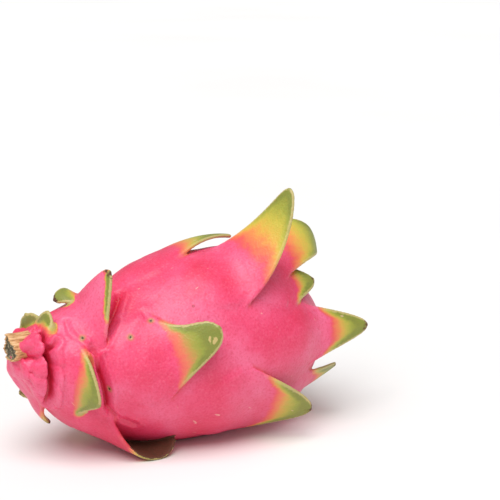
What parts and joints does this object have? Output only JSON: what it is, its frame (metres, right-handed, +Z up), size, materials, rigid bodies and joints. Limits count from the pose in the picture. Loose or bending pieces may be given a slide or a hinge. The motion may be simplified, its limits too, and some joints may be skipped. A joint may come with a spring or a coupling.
{
  "type": "dragon fruit",
  "caption": "Whole red dragon fruit lying on its side: pink skin with curling green-tipped bracts, a cut woody stem stub at one end and a navel at the other.",
  "frame": {"origin": "middle of the flat spot that the belly rests on, under the widest section of the fruit", "axes": "+X along the fruit from the stem end to the flower end, +Z up"},
  "size_m": [0.1598, 0.1001, 0.1115],
  "materials": {
    "skin": "waxy fruit skin, pink, with bracts that turn yellow and green towards their tips",
    "stem": "dry, fibrous, dark at the cut"
  },
  "bodies": {
    "root": {"fruit": "skin", "stem_stub": "stem"}
  },
  "joints": []
}
